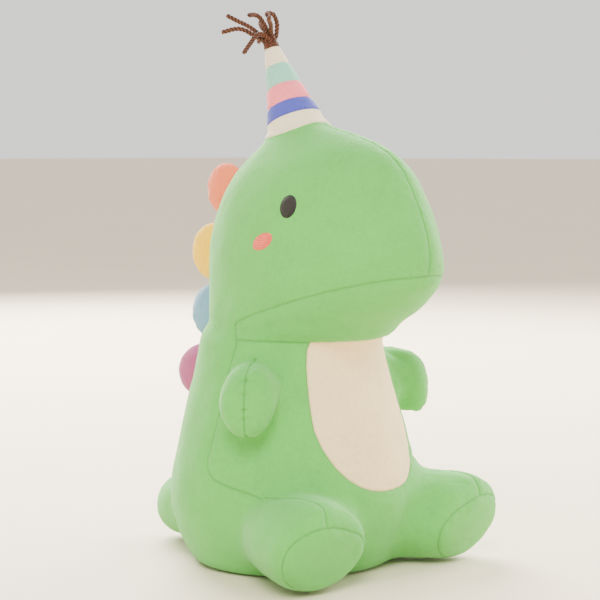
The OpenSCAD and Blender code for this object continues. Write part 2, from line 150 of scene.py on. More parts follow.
# The stub of crown inside the hat: radius, loss of radius along it, top and foot along the hat's axis
STUB_R, STUB_TAPER, STUB_TOP, STUB_FOOT = 18.3, 0.12, 1.0, -16.0
# Sole: how far it domes, and how far its seam lies out from the limb's station
SOLE_DOME, SOLE_SEAM = 7.5, 3.0
# Cloth pass: start smaller by, remesh size and pressure in SI units, last frame, longest shift
SWELL_START, SWELL_MESH, SWELL_PRESSURE, SWELL_FRAMES, SWELL_CAP = 2.0, 0.005, 300, 20, 5.0
# Reach of the two refinements of the mesh beside a seam
REFINE = (2.2, 1.1)
# Relief of a seam, depth and half width: the sewn line, the dip round it, the deeper dip on the arms
LINE, DIP, ARM_DIP = (0.6, 0.7), (0.5, 4.5), (0.3, 4.0)

# ---- Colours, sRGB ----
COLORS = {
    "mint": (0.36, 0.71, 0.30),
    "cream": (0.975, 0.86, 0.665),
    "salmon": (0.93, 0.47, 0.31),
    "yellow": (0.97, 0.78, 0.0),
    "blue": (0.44, 0.62, 0.72),
    "purple": (0.67, 0.31, 0.49),
    "hat_cream": (0.93, 0.87, 0.74),
    "hat_periwinkle": (0.30, 0.32, 0.68),
    "hat_pink": (0.985, 0.50, 0.54),
    "hat_mint": (0.55, 0.80, 0.70),
    "eye": (0.05, 0.035, 0.02),
    "cheek": (0.93, 0.36, 0.27),
    "yarn": (0.11, 0.035, 0.006),
    # the painted highlight on the crests of the yarn's plies and turns
    "yarn_highlight": (0.44, 0.20, 0.03),
    "floor": (0.95, 0.88, 0.77),
}


def linear(c):
    return tuple(x / 12.92 if x <= 0.04045 else ((x + 0.055) / 1.055) ** 2.4 for x in c)


# ---- Camera ----
def make_camera():
    azimuth, elevation, distance = math.radians(-47), math.radians(4.5), 1.25
    sensor, seen = 36, 0.39  # sensor in mm, width seen at the target in metres
    target = Vector((0, -0.008, 0.171))
    flat = math.cos(elevation)
    back = Vector((math.sin(azimuth) * flat, -math.cos(azimuth) * flat, math.sin(elevation)))
    data = bpy.data.cameras.new("camera")
    data.sensor_width = sensor
    data.lens = sensor * distance / seen
    cam = bpy.data.objects.new("camera", data)
    cam.location = target + back * distance
    cam.rotation_euler = (-back).to_track_quat("-Z", "Y").to_euler()
    bpy.context.collection.objects.link(cam)
    bpy.context.scene.camera = cam


# ---- Materials ----
def shader(name):
    mat = bpy.data.materials.new(name)
    mat.use_nodes = True
    return mat, mat.node_tree.nodes, mat.node_tree.links, mat.node_tree.nodes["Principled BSDF"]


def noise_node(nodes, links, coords, scale, detail=3.0, roughness=0.55):
    n = nodes.new("ShaderNodeTexNoise")
    n.inputs["Scale"].default_value = scale
    n.inputs["Detail"].default_value = detail
    n.inputs["Roughness"].default_value = roughness
    links.new(coords, n.inputs["Vector"])
    return n.outputs["Fac"]


def ramp(nodes, links, fac, stops):
    r = nodes.new("ShaderNodeValToRGB")
    ends = r.color_ramp.elements
    for end, (p, c) in ((ends[0], stops[0]), (ends[1], stops[-1])):
        end.position, end.color = p, (*c, 1)
    for p, c in stops[1:-1]:
        ends.new(p).color = (*c, 1)
    links.new(fac, r.inputs["Fac"])
    return r.outputs["Color"]


def math_node(nodes, links, op, a, b):
    m = nodes.new("ShaderNodeMath")
    m.operation = op
    for k, x in enumerate((a, b)):
        if isinstance(x, (int, float)):
            m.inputs[k].default_value = x
        else:
            links.new(x, m.inputs[k])
    return m.outputs[0]


def scaled(nodes, links, a, factor, add):
    """a * factor + add, where add is a number or another socket."""
    return math_node(nodes, links, "ADD", math_node(nodes, links, "MULTIPLY", a, factor), add)


def mixed(nodes, links, a, share_a, b, share_b):
    """a * share_a + b * share_b."""
    return scaled(nodes, links, a, share_a, math_node(nodes, links, "MULTIPLY", b, share_b))


def bump(nodes, links, height, distance, strength, normal=None):
    b = nodes.new("ShaderNodeBump")
    b.inputs["Distance"].default_value = distance
    b.inputs["Strength"].default_value = strength
    links.new(height, b.inputs["Height"])
    if normal is not None:
        links.new(normal, b.inputs["Normal"])
    return b.outputs["Normal"]


def object_coords(nodes):
    return nodes.new("ShaderNodeTexCoord").outputs["Object"]


def velour(name, color, sheen=0.5, pile=1500.0, depth=0.0005):
    """Short-pile knit: clumped fibres in the bump, a soft two-scale shift of colour, and sheen."""
    mat, nodes, links, p = shader(name)
    coords = object_coords(nodes)
    base = np.array(linear(COLORS[color]))
    blotch = noise_node(nodes, links, coords, 38.0, 4.0)
    fibre = noise_node(nodes, links, coords, pile, 2.0)
    clump = noise_node(nodes, links, coords, pile / 5, 3.0, 0.6)
    grain = mixed(nodes, links, fibre, 0.5, clump, 0.5)
    light = tuple(np.minimum(base * 1.08, 1))
    tone = ramp(nodes, links, mixed(nodes, links, blotch, 0.35, grain, 0.65),
                [(0.36, tuple(base * 0.88)), (0.5, tuple(base)), (0.64, light)])
    # painted shade along the seams: as the seam share rises the colour darkens to 0.76 of the base, for the
    # shadow in the sewn groove
    seam = nodes.new("ShaderNodeAttribute")
    seam.attribute_name = "seam"
    shade = nodes.new("ShaderNodeMix")
    shade.data_type = "RGBA"
    # a colour mix takes its factor and its two colours at sockets 0, 6 and 7, and gives its colour at 2
    links.new(seam.outputs["Fac"], shade.inputs[0])
    links.new(tone, shade.inputs[6])
    shade.inputs[7].default_value = (*(base * 0.76), 1)
    links.new(shade.outputs[2], p.inputs["Base Color"])
    links.new(scaled(nodes, links, clump, 0.25, 0.72), p.inputs["Roughness"])
    n = bump(nodes, links, clump, 0.0008, 0.25)
    links.new(bump(nodes, links, fibre, depth, 0.7, n), p.inputs["Normal"])
    p.inputs["Sheen Weight"].default_value = sheen
    p.inputs["Sheen Roughness"].default_value = 0.45
    p.inputs["Sheen Tint"].default_value = (*np.minimum(base * 0.6 + 0.4, 1), 1)
    p.inputs["Specular IOR Level"].default_value = 0.2
    return mat


def satin(name, color, angle):
    """Embroidery: parallel satin stitches about half a millimetre apart."""
    mat, nodes, links, p = shader(name)
    coords = object_coords(nodes)
    mapping = nodes.new("ShaderNodeMapping")
    mapping.inputs["Rotation"].default_value = (0, math.radians(angle), 0)
    links.new(coords, mapping.inputs["Vector"])
    wave = nodes.new("ShaderNodeTexWave")
    wave.bands_direction = "Z"
    wave.inputs["Scale"].default_value = 520
    wave.inputs["Distortion"].default_value = 1.6
    wave.inputs["Detail"].default_value = 2.0
    links.new(mapping.outputs[0], wave.inputs["Vector"])
    base = np.array(linear(COLORS[color]))
    light = tuple(np.minimum(base * 1.5 + 0.01, 1))
    soft = noise_node(nodes, links, coords, 420.0, 2.0)
    tone = ramp(nodes, links, mixed(nodes, links, wave.outputs["Fac"], 0.3, soft, 0.7),
                [(0.15, tuple(base * 0.62)), (0.55, tuple(base)), (0.95, light)])
    links.new(tone, p.inputs["Base Color"])
    links.new(scaled(nodes, links, soft, 0.2, 0.32), p.inputs["Roughness"])
    links.new(bump(nodes, links, wave.outputs["Fac"], 0.0004, 0.8), p.inputs["Normal"])
    p.inputs["Sheen Weight"].default_value = 0.08
    return mat


def wool():
    """Twisted yarn with fuzz: painted shade in the grooves between the plies and turns, and a painted
    highlight on their crests.
    """
    mat, nodes, links, p = shader("yarn_wool")
    coords = object_coords(nodes)
    crest_shading = nodes.new("ShaderNodeAttribute")
    crest_shading.attribute_name = "crest_shading"
    fuzz = noise_node(nodes, links, coords, 2200.0, 3.0)
    patch = noise_node(nodes, links, coords, 260.0, 3.0)
    grain = mixed(nodes, links, patch, 0.35, fuzz, 0.25)
    dark, light = np.array(linear(COLORS["yarn"])), np.array(linear(COLORS["yarn_highlight"]))
    # painted light: the crest share turns the grooves to half the dark colour, a painted shade, and the
    # crests to the light colour, a painted highlight; fuzz and patches add random tone
    tone = ramp(nodes, links, scaled(nodes, links, crest_shading.outputs["Fac"], 0.5, grain),
                [(0.22, tuple(dark * 0.5)), (0.5, tuple(dark)), (0.86, tuple(light))])
    links.new(tone, p.inputs["Base Color"])
    links.new(scaled(nodes, links, fuzz, 0.3, 0.6), p.inputs["Roughness"])
    links.new(bump(nodes, links, fuzz, 0.0003, 0.8), p.inputs["Normal"])
    p.inputs["Sheen Weight"].default_value = 0.06
    return mat


# ---- Mesh helpers ----
def make_object(name, verts, faces, mat, smooth=True):
    mesh = bpy.data.meshes.new(name)
    mesh.from_pydata([tuple(v) for v in verts], [], [tuple(int(i) for i in f) for f in faces])
    mesh.update()
    if smooth:
        mesh.polygons.foreach_set("use_smooth", [True] * len(mesh.polygons))
    mesh.materials.append(mat)
    obj = bpy.data.objects.new(name, mesh)
    bpy.context.collection.objects.link(obj)
    return obj


def point_values(obj, name, values):
    """Stores one number per point, which the materials read."""
    attribute = obj.data.attributes.new(name, "FLOAT", "POINT")
    attribute.data.foreach_set("value", np.array(values, np.float32))


def ring(row, spokes):
    return tuple(row * spokes + j for j in range(spokes))


def tube_faces(rows, spokes):
    """Quads of a tube of rows + 1 rings."""
    faces = []
    for i in range(rows):
        for j in range(spokes):
            a, b = i * spokes + j, i * spokes + (j + 1) % spokes
            faces.append((a, b, b + spokes, a + spokes))
    return faces


def disc_faces(rings, spokes):
    """Faces of a disc: a middle point, then the rings."""
    faces = [(0, 1 + j, 1 + (j + 1) % spokes) for j in range(spokes)]
    for i in range(1, rings):
        for j in range(spokes):
            a, b = 1 + (i - 1) * spokes + j, 1 + (i - 1) * spokes + (j + 1) % spokes
            faces.append((a, a + spokes, b + spokes, b))
    return faces


def point_tree(points):
    tree = kdtree.KDTree(len(points))
    for i, p in enumerate(points):
        tree.insert(p, i)
    tree.balance()
    return tree


def fade(d, width):
    return np.exp(-((d / width) ** 2))


def spline(stations, t):
    """Catmull-Rom curve through the stations, at t counted in stations."""
    s = np.array(stations, float)
    t = np.atleast_1d(np.asarray(t, float))
    i = np.clip(np.floor(t).astype(int), 0, len(s) - 2)
    f = (t - i)[:, None]
    a, b, c, d = s[np.maximum(i - 1, 0)], s[i], s[i + 1], s[np.minimum(i + 2, len(s) - 1)]
    p = 2 * b + (c - a) * f + (2 * a - 5 * b + 4 * c - d) * f**2
    return 0.5 * (p + (3 * b - a - 3 * c + d) * f**3)


def loft(stations, upright, rows=60, sides=64):
    """Closed surface through the stations: points and triangles."""
    s = spline(stations, np.linspace(0, len(stations) - 1, rows))
    u = np.linspace(0, 2 * np.pi, sides, endpoint=False)
    yaw, tilt = np.radians(s[:, 5])[:, None], np.radians(s[:, 6])[:, None]
    x, y = s[:, 3][:, None] * np.sin(u), -s[:, 4][:, None] * np.cos(u)
    if upright:
        p = np.stack([x, y * np.cos(tilt), y * np.sin(tilt)], -1)
    else:
        px = -x * np.cos(yaw) + y * np.sin(yaw) * np.sin(tilt)
        py = -x * np.sin(yaw) - y * np.cos(yaw) * np.sin(tilt)
        p = np.stack([px, py, -y * np.cos(tilt)], -1)
    p = (p + s[:, None, :3]).reshape(-1, 3)
    points = np.vstack([p, s[0, :3], s[-1, :3]])
    tri = []
    for i in range(rows - 1):
        a = i * sides + np.arange(sides)
        b = i * sides + (np.arange(sides) + 1) % sides
        tri += [np.stack([a, b, a + sides], 1), np.stack([b, b + sides, a + sides], 1)]
    a, b = np.arange(sides), (np.arange(sides) + 1) % sides
    tri += [np.stack([b, a, np.full(sides, len(p))], 1)]
    e = (rows - 1) * sides
    tri += [np.stack([a + e, b + e, np.full(sides, len(p) + 1)], 1)]
    return points, np.vstack(tri)


def limb_stations(root, turn0, turn1, length, drop, half_w, half_h, taper, lean=0.0, profile=LIMB):
    """Stations of a limb that leaves root at bearing turn0 and ends at bearing turn1, in degrees."""
    out = []
    for t, k in profile:
        yaw = turn0 + (turn1 - turn0) * max(t, 0)
        m = math.radians((turn0 + yaw) / 2)
        c = np.array(root) + length * t * np.array([math.sin(m), -math.cos(m), -drop * abs(t)])
        q = max(t, 0)
        w, h = half_w * k * (1 - taper * q), half_h * k * (1 - taper * q * 0.5)
        out.append((*c, w, h, yaw, lean * (1 - q)))
    return out


def distance_field(points, tris):
    grid = vdb.FloatGrid.createLevelSetFromPolygons(
        points.astype(np.float32), triangles=tris.astype(np.uint32),
        transform=vdb.createLinearTransform(VOXEL), halfWidth=BAND)
    field = np.zeros(SHAPE, np.float32)
    grid.copyToArray(field, ijk=ORIGIN)
    return field


def smooth_min(a, b, k):
    h = np.clip(0.5 + 0.5 * (b - a) / k, 0, 1)
    return b + (a - b) * h - k * h * (1 - h)


def sample(field, p):
    """The field between its voxels' middles, at the points p."""
    q = (p - LOW) / VOXEL
    i = np.clip(np.floor(q).astype(int), 0, np.array(SHAPE) - 2)
    f = q - i
    shares = (1 - f, f)
    out = 0
    for dx in (0, 1):
        for dy in (0, 1):
            for dz in (0, 1):
                w = shares[dx][:, 0] * shares[dy][:, 1] * shares[dz][:, 2]
                out = out + w * field[i[:, 0] + dx, i[:, 1] + dy, i[:, 2] + dz]
    return out


def surface(field):
    grid = vdb.FloatGrid(BAND * VOXEL)
    grid.transform = vdb.createLinearTransform(VOXEL)
    grid.copyFromArray(field, ijk=ORIGIN)
    points, quads = grid.convertToQuads(0.0)
    points, quads = points.astype(float), quads.astype(int)
    tris = np.vstack([quads[:, [0, 1, 2]], quads[:, [0, 2, 3]]])
    a, b, c = points[tris[:, 0]], points[tris[:, 1]], points[tris[:, 2]]
    if np.einsum("ij,ij->i", a, np.cross(b, c)).sum() < 0:
        tris = tris[:, [0, 2, 1]]
    return points, tris


def edges_of(tris):
    """Every edge once, and for each triangle's three edges, its index."""
    e = np.sort(np.vstack([tris[:, [0, 1]], tris[:, [1, 2]], tris[:, [2, 0]]]), axis=1)
    return np.unique(e, axis=0, return_inverse=True)


def relax(points, tris, steps, amount=0.5):
    e, _ = edges_of(tris)
    count = np.zeros(len(points))
    np.add.at(count, e.ravel(), 1)
    for _ in range(steps):
        total = np.zeros_like(points)
        np.add.at(total, e[:, 0], points[e[:, 1]])
        np.add.at(total, e[:, 1], points[e[:, 0]])
        points = points + amount * (total / count[:, None] - points)
    return points


def normals(points, tris):
    a, b, c = points[tris[:, 0]], points[tris[:, 1]], points[tris[:, 2]]
    n = np.cross(b - a, c - a)
    out = np.zeros_like(points)
    for k in range(3):
        np.add.at(out, tris[:, k], n)
    return out / np.maximum(np.linalg.norm(out, axis=1), 1e-12)[:, None]


def cut(points, tris, locked, fn):
    """Splits the triangles along fn = 0, so that a seam can run exactly there."""
    f = fn(points)
    e, _ = edges_of(tris)
    a, b = e[:, 0], e[:, 1]
    t = f[a] / np.where(f[a] == f[b], 1, f[a] - f[b])
    cross = f[a] * f[b] < 0
    points = points.copy()
    for near, v in ((cross & (t < 0.25) & ~locked[a], a), (cross & (t > 0.75) & ~locked[b], b)):
        moved = points[a] + t[:, None] * (points[b] - points[a])
        points[v[near]] = moved[near]
        f[v[near]] = 0
    e, inverse = edges_of(tris)
    cross = f[e[:, 0]] * f[e[:, 1]] < 0
    new = np.full(len(e), -1)
    new[cross] = len(points) + np.arange(cross.sum())
    fa, fb = f[e[cross, 0]], f[e[cross, 1]]
    t = (fa / (fa - fb))[:, None]
    points = np.vstack([points, points[e[cross, 0]] * (1 - t) + points[e[cross, 1]] * t])
    locked = np.concatenate([locked | (f == 0), np.ones(cross.sum(), bool)])
    x = new[inverse.reshape(-1)].reshape(3, -1).T
    hits = (x >= 0).sum(1)
    out = [tris[hits == 0]]
    for i in range(3):
        j, k = (i + 1) % 3, (i + 2) % 3
        # corner i stands alone: edges i-j and k-i are cut
        m = (hits == 2) & (x[:, j] < 0)
        (a, b, c), p, q = tris[m][:, [i, j, k]].T, x[m, i], x[m, k]
        out += [np.stack([a, p, q], 1), np.stack([p, b, c], 1), np.stack([p, c, q], 1)]
        # only edge i-j is cut
        m = (hits == 1) & (x[:, i] >= 0)
        (a, b, c), p = tris[m][:, [i, j, k]].T, x[m, i]
        out += [np.stack([a, p, c], 1), np.stack([p, b, c], 1)]
    return points, np.vstack(out), locked


def noise_at(points, scale, seed=0.0):
    shift = Vector((seed, seed * 1.7, -seed))
    return np.array([noise.noise(Vector(p) * scale + shift) for p in points])


def smoothstep(a, b, x):
    t = np.clip((x - a) / (b - a), 0, 1)
    return t * t * (3 - 2 * t)


# ---- Seam lines, as functions that are zero along the seam (millimetres) ----
def section(stations, z):
    """Centre y, half width and half depth of an upright form at height z."""
    s = spline(stations, np.linspace(0, len(stations) - 1, 400))
    return [np.interp(z, s[:, 2], s[:, k]) for k in (1, 3, 4)]


def bearing(stations, p):
    cy, a, b = section(stations, p[:, 2])
    return np.degrees(np.arctan2(np.abs(p[:, 0]) / a, -(p[:, 1] - cy) / b))


# Bearing of the side seam at each height: down behind the arm, then forward over the hip to the leg
SIDE_SEAM_Z = [0, 47, 52.5, 55.5, 58, 60.5, 63.5, 68, 75, 85, 113, 136, 150]
SIDE_SEAM_BEARING = [50, 50, 55, 62, 71, 79, 86, 90, 91.5, 90, 87, 84, 81]


def side_seam(p):
    """Positive on the side panels, negative on the front, tummy and chin panels."""
    z = p[:, 2]
    u_body = bearing(TORSO, np.column_stack([p[:, :2], np.clip(z, 1, NECK - 5)]))
    edge = np.interp(z, SIDE_SEAM_Z, SIDE_SEAM_BEARING)
    low = (u_body - edge) * 1.35
    u_head = bearing(HEAD, np.column_stack([p[:, :2], np.clip(z, NECK + 5, NECK + 120)]))
    high = z - (NECK + 41 * (1 - 0.83 * (u_head / 97) ** 2.3))
    w = smoothstep(NECK - 6, NECK + 12, z)
    return low * (1 - w) + high * w


def tummy_seam(p):
    """Negative inside the U of the tummy panel."""
    middle = np.interp(p[:, 2], [95, 120, 150], [2.5, 3, 5])
    half = np.interp(p[:, 2], [95, 120, 150], [45, 42.5, 40])
    x, low = np.abs(p[:, 0] - middle) / half, np.maximum(108 - p[:, 2], 0) / 53
    f = ((x**2.5 + low**2.5) ** 0.4 - 1) * 40
    return np.where(p[:, 1] < 10, f, 30.0)


def neck_line(p):
    return p[:, 2] - (NECK - 1 + np.clip(p[:, 1] + 20, -60, 60) * 0.03)


# ---- The plush skin ----
def sole_normal(sign):
    n = np.array([-0.12 * sign, -1, -0.42])
    return n / np.linalg.norm(n)


def hat_stub(gx, gy, gz):
    """Distance to the stub of crown that rises into the hat, a short cone along the hat's axis."""
    lean = math.radians(HAT_LEAN)
    x, y, z = gx - HAT_SEAT[0], gy - HAT_SEAT[1], gz - HAT_SEAT[2]
    along = y * math.sin(lean) + z * math.cos(lean)
    across = np.sqrt(x**2 + (y * math.cos(lean) - z * math.sin(lean)) ** 2)
    side = across - (STUB_R - STUB_TAPER * along)
    return np.maximum(np.maximum(side, along - STUB_TOP), STUB_FOOT - along)


def joint_root(frame, name):
    """Where a hinge sits, in millimetres."""
    j = next(j for j in frame["joints"] if j["name"] == name)
    return np.array(j["pos_m"]) * 1000


def limb_forms(frame):
    """Stations and distance fields of arms, legs and tail."""
    stations = {}
    for side, sign in SIDES:
        root = joint_root(frame, "arm_swing_" + side)
        stations["arm_" + side] = limb_stations(root, -67 * sign, -45 * sign, 31, 0.2, 20, 23, 0.05, 13)
        root = joint_root(frame, "leg_lift_" + side)
        stations["leg_" + side] = limb_stations(
            root, -43 * sign, -6 * sign, 39, 0, 38.5, 29.5, 0.12, profile=FOOT)
    stations["tail"] = limb_stations(joint_root(frame, "tail_lift"), 180, 180, 45, 0.12, 35.5, 25, 0.5)
    return stations, {name: distance_field(*loft(s, False, 44, 48)) for name, s in stations.items()}


def plush_form(frame):
    """Body, head and limbs blended into one surface: points, triangles, and the forms it came from."""
    torso = distance_field(*loft(TORSO, True))
    head = distance_field(*loft(HEAD, True))
    stations, limbs = limb_forms(frame)
    axes = [LOW[k] + VOXEL * np.arange(SHAPE[k]) for k in range(3)]
    gx, gy, gz = np.meshgrid(*axes, indexing="ij", sparse=True)
    for side, sign in SIDES:
        c = spline(stations["leg_" + side], 6)[0][:3]
        n = sole_normal(sign)
        flat = (gx - c[0]) * n[0] + (gy - c[1]) * n[1] + (gz - c[2]) * n[2] - SOLE_DOME
        limbs["leg_" + side] = -smooth_min(-limbs["leg_" + side], -flat.astype(np.float32), SOLE_SOFT)
    whole = smooth_min(torso, head, NECK_SOFT)
    whole = smooth_min(whole, hat_stub(gx, gy, gz).astype(np.float32), LIMB_SOFT)
    for name, field in limbs.items():
        whole = smooth_min(whole, field, ARM_SOFT if name.startswith("arm") else LIMB_SOFT)
    # the base is cut flat a little above the floor
    whole = np.maximum(whole, (BASE_Z - gz).astype(np.float32))
    points, tris = surface(whole)
    points = relax(points, tris, 4)
    points[:, 2] = np.maximum(points[:, 2], FLOOR_Z)
    return points, tris, torso, limbs, stations


def base_rim(p):
    """Negative inside the round base panel."""
    return np.where(p[:, 2] < 3, np.hypot(p[:, 0], p[:, 1] + 2) - 57.5, 40.0)


def mirror(p):
    return p[:, 0]


def limb_plane(stations, where, normal, offset=0.0):
    """Signed distance to a plane through the limb's middle at a station."""
    s = spline(stations, where)[0]
    n = np.array(normal, float)
    n /= np.linalg.norm(n)
    return lambda p: (p - s[:3]) @ n - offset


def limb_halves(name, stations):
    """Vertical plane along the limb: positive on its outer or back half. On a leg it curves at the hip."""
    a, b = spline(stations, 2)[0][:3], spline(stations, 8)[0][:3]
    d = b - a
    n = np.array([d[1], -d[0], 0]) * (-1 if name.endswith("left") else 1)
    n /= np.linalg.norm(n)
    flat = limb_plane(stations, 6, n)
    if name.startswith("arm"):
        return flat
    start, step = stations[2][:3], d / (d @ d)
    return lambda p: flat(p) - 15 * np.clip(1 - (p - start) @ step, 0, 1.3) ** 1.5


def plush_skin(frame):
    """The skin cut along its seams: points, triangles, and the panel each triangle belongs to."""
    points, tris, torso, limbs, stations = plush_form(frame)

    def limb_edge(name):
        return lambda p: sample(limbs[name], p) - sample(torso, p) + 0.6

    edges = {n: limb_edge(n) for n in limbs}
    halves = {n: limb_halves(n, stations[n]) for n in limbs if n != "tail"}
    soles = {}
    for side, sign in SIDES:
        soles["leg_" + side] = limb_plane(stations["leg_" + side], 6, sole_normal(sign), SOLE_SEAM)
    locked = np.zeros(len(points), bool)
    body_seams = (side_seam, mirror, tummy_seam, neck_line)
    for fn in (*body_seams, *edges.values(), *halves.values(), *soles.values(), base_rim):
        points, tris, locked = cut(points, tris, locked, fn)

    def mean(fn):
        return fn(points)[tris].mean(1)

    label = np.full(len(tris), "front_panel", dtype="<U24")
    side, right = mean(side_seam) > 0, mean(mirror) < 0
    high, belly = mean(neck_line) > 0, mean(tummy_seam) < 0
    label[~side & high] = "chin_panel"
    label[~side & ~high & belly] = "tummy_panel"
    label[side & right] = "side_panel_right"
    label[side & ~right] = "side_panel_left"
    label[mean(base_rim) < 0] = "base_panel"
    for name, fn in edges.items():
        inside = mean(fn) < 0
        if name == "tail":
            label[inside & right] = "tail_cover_right"
            label[inside & ~right] = "tail_cover_left"
            continue
        half = mean(halves[name]) > 0
        kind, s = name.split("_")
        out, into = ("back", "front") if kind == "arm" else ("outer", "inner")
        label[inside & half] = f"{kind}_{out}_{s}"
        label[inside & ~half] = f"{kind}_{into}_{s}"
        if kind == "leg":
            label[inside & (mean(soles[name]) > 0)] = f"sole_{s}"
    return points, tris, label


def seam_points(points, tris, label):
    """Distance of every point from the nearest seam, and the points where a limb's skin meets the body's."""
    ids = np.unique(label, return_inverse=True)[1]
    on_limb = np.zeros(len(tris), bool)
    for kind in ("arm", "leg", "tail", "sole"):
        on_limb |= np.char.startswith(label, kind)
    sewn, meets = np.zeros(len(points), bool), []
    for kind in (on_limb, ~on_limb):
        low, high = np.full(len(points), 99), np.full(len(points), -1)
        for k in range(3):
            np.minimum.at(low, tris[kind, k], ids[kind])
            np.maximum.at(high, tris[kind, k], ids[kind])
        sewn |= low < high
        meets.append(high >= 0)
    tree = point_tree(points[sewn])
    return np.array([tree.find(p)[2] for p in points]), meets[0] & meets[1]


def refine(points, tris, label, reach):
    """Halves the edges within reach of a seam, so that the sewn line comes out thin."""
    d = seam_points(points, tris, label)[0]
    pairs, index = edges_of(tris)
    split = d[pairs].min(axis=1) < reach
    middle = np.full(len(pairs), -1)
    middle[split] = len(points) + np.arange(split.sum())
    m = middle[index.reshape(3, -1).T]
    # turns each triangle so that its halved edges come first
    code = (m >= 0) @ np.array([1, 2, 4])
    turn = np.array([0, 0, 1, 0, 2, 2, 1, 0])[code]
    order = (np.arange(3)[None, :] + turn[:, None]) % 3
    a, b, c = np.take_along_axis(tris, order, 1).T
    ab, bc, ca = np.take_along_axis(m, order, 1).T
    count = (m >= 0).sum(axis=1)
    faces, names = [tris[count == 0]], [label[count == 0]]
    one = [(a, ab, c), (ab, b, c)]
    two = [(ab, b, bc), (a, ab, bc), (a, bc, c)]
    three = [(a, ab, ca), (ab, b, bc), (ca, bc, c), (ab, bc, ca)]
    for n, parts in ((1, one), (2, two), (3, three)):
        for part in parts:
            faces.append(np.column_stack(part)[count == n])
            names.append(label[count == n])
    return np.vstack([points, points[pairs[split]].mean(axis=1)]), np.vstack(faces), np.concatenate(names)


def evaluated(obj):
    return obj.evaluated_get(bpy.context.evaluated_depsgraph_get())


def cloth_shift(start, tris, room):
    """Runs Cloth on a coarse remesh of the skin: its points at the start, and how far each moves, in mm."""
    obj = make_object("swelling_skin", start * MM, tris, None)
    remesh = obj.modifiers.new("remesh", "REMESH")
    remesh.mode, remesh.voxel_size = "VOXEL", SWELL_MESH
    mesh = bpy.data.meshes.new_from_object(evaluated(obj))
    obj.modifiers.clear()
    obj.data = mesh
    before = np.array([v.co for v in mesh.vertices])
    skin = point_tree(start * MM)
    held = [i for i, q in enumerate(before) if room[skin.find(q)[1]] < 0.06]
    obj.vertex_groups.new(name="held").add(held, 1.0, "REPLACE")
    cloth = obj.modifiers.new("cloth", "CLOTH")
    settings = cloth.settings
    settings.vertex_group_mass = "held"
    settings.use_pressure = True
    settings.uniform_pressure_force = SWELL_PRESSURE
    settings.effector_weights.gravity = 0
    settings.quality = 4
    settings.mass = 0.004
    settings.tension_stiffness = settings.compression_stiffness = 8
    settings.shear_stiffness, settings.bending_stiffness = 2, 0.1
    cloth.point_cache.frame_start, cloth.point_cache.frame_end = 1, SWELL_FRAMES
    scene = bpy.context.scene
    for f in range(1, SWELL_FRAMES + 1):
        scene.frame_set(f)
    after = np.array([v.co for v in evaluated(obj).data.vertices])
    scene.frame_set(1)
    bpy.data.objects.remove(obj)
    move = (after - before) / MM
    size = np.linalg.norm(move, axis=1)
    move *= np.minimum(1, SWELL_CAP / np.maximum(size, 1e-6))[:, None]
    return before, move


def swell(points, tris, label):
    """Swells the skin as cloth under pressure, held at its seams, from a start a little smaller."""
    d = seam_points(points, tris, label)[0]
    room = smoothstep(2, 22, d) * smoothstep(2, 14, points[:, 2])
    start = points - normals(points, tris) * (SWELL_START * room)[:, None]
    before, move = cloth_shift(start, tris, room)
    tree = point_tree(before)
    out = start.copy()
    for i, q in enumerate(start):
        near = tree.find_n(q * MM, 5)
        w = np.array([1 / (dist + 0.001) ** 2 for _, _, dist in near])
        out[i] += (move[[k for _, k, _ in near]] * w[:, None]).sum(axis=0) / w.sum()
    return out


def arm_share(points, tris, label):
    """1 on the arms, fading out round their roots."""
    arm = np.zeros(len(points))
    arm[tris[np.char.startswith(label, "arm")]] = 1
    a, b = edges_of(tris)[0].T
    size = len(points)
    count = np.maximum(np.bincount(a, minlength=size) + np.bincount(b, minlength=size), 1)
    for _ in range(8):
        arm = (np.bincount(a, arm[b], size) + np.bincount(b, arm[a], size)) / count
    return arm


def sew(points, tris, label):
    """Sinks the surface along every seam between panels, puckers it beside them and adds soft lumps."""
    d, grown = seam_points(points, tris, label)
    arm = arm_share(points, tris, label)
    lumps = noise_at(points, 1 / 34.0) * 0.9 + noise_at(points, 1 / 15.0, 4.0) * 0.35
    pucker = noise_at(points, 1 / 5.5, 9.0) * 0.5 * fade(d, 7.5)
    # the arms' seam is gathered by its stitches
    stitch = np.sin(points[:, 2] * 0.75 + 2.5 * noise_at(points, 1 / 9.0, 21.0))
    gather = -1.2 * np.clip(stitch, 0, 1) ** 2 * fade(d, 6)
    groove = -LINE[0] * fade(d, LINE[1]) - DIP[0] * fade(d, DIP[1]) - arm * ARM_DIP[0] * fade(d, ARM_DIP[1])
    # hardly any groove under the hat
    groove *= smoothstep(20, 34, np.linalg.norm(points - HAT_SEAT, axis=1)) * 0.85 + 0.15
    amount = groove + pucker + gather * arm + lumps * smoothstep(0, 12, d)
    amount *= smoothstep(0.3, 6, points[:, 2])
    out = points + normals(points, tris) * amount[:, None]
    out[:, 2] = np.maximum(out[:, 2], FLOOR_Z)
    # the second value is each point's share of the painted shade along the seams
    return out, fade(d, 0.65), grown


